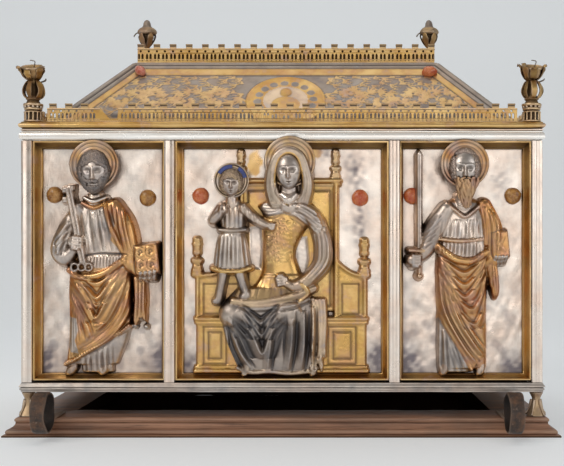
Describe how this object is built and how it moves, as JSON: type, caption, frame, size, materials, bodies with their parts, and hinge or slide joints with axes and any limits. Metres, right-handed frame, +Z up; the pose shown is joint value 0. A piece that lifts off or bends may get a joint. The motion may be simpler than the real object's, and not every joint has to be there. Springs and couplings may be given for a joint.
{
  "type": "reliquary casket",
  "caption": "House-shaped silver reliquary casket with relief figures in gilt frames, a hipped lid with battlemented galleries and leafy pinnacles, on a board with iron carrying loops.",
  "frame": {"origin": "centre of the board's underside", "axes": "+X to the viewer's right along the casket, +Y from the relief front to the back, +Z up"},
  "size_m": [0.552, 0.4118, 0.4503],
  "materials": {
    "silver": "worn, softly polished silver with warm tarnish",
    "gilt": "old gilding, satin",
    "worn_gilt": "gilding rubbed down to silver on the high places",
    "iron": "dark brown, forged, matte",
    "wood": "reddish brown, waxed",
    "amber": "polished brown stone",
    "carnelian": "polished orange-red stone"
  },
  "bodies": {
    "root": {"back_frame": "gilt", "back_plate": "silver", "base_board": "wood", "base_rail": "silver", "boss_centre_left": "carnelian", "boss_centre_right": "carnelian", "boss_left_inner": "amber", "boss_left_outer": "amber", "boss_right_inner": "carnelian", "boss_right_outer": "amber", "carrying_loop_back_left": "iron", "carrying_loop_back_right": "iron", "carrying_loop_front_left": "iron", "carrying_loop_front_right": "iron", "corner_pinnacle_back_left": "worn_gilt", "corner_pinnacle_back_right": "worn_gilt", "corner_pinnacle_front_left": "worn_gilt", "corner_pinnacle_front_right": "worn_gilt", "corner_post_back_left": "silver", "corner_post_back_right": "silver", "corner_post_front_left": "silver", "corner_post_front_right": "silver", "cornice": "silver", "floor_plate": "silver", "foot_back_left": "worn_gilt", "foot_back_right": "worn_gilt", "foot_front_left": "worn_gilt", "foot_front_right": "worn_gilt", "front_frame_centre": "gilt", "front_frame_left": "gilt", "front_frame_right": "gilt", "front_plate_centre": "silver", "front_plate_left": "silver", "front_plate_right": "silver", "left_frame": "gilt", "left_plate": "silver", "lid_ledge": "gilt", "lid_roof": "worn_gilt", "lower_gallery_back": "gilt", "lower_gallery_front": "gilt", "lower_gallery_left": "gilt", "lower_gallery_right": "gilt", "mother_and_child": "worn_gilt", "mullion_left": "silver", "mullion_right": "silver", "ridge_finial_left": "worn_gilt", "ridge_finial_right": "worn_gilt", "right_frame": "gilt", "right_plate": "silver", "roof_boss_left": "carnelian", "roof_boss_right": "carnelian", "saint_with_keys": "worn_gilt", "saint_with_sword": "worn_gilt", "throne": "gilt", "upper_gallery_back": "gilt", "upper_gallery_front": "gilt", "upper_gallery_left": "gilt", "upper_gallery_right": "gilt"}
  },
  "joints": []
}
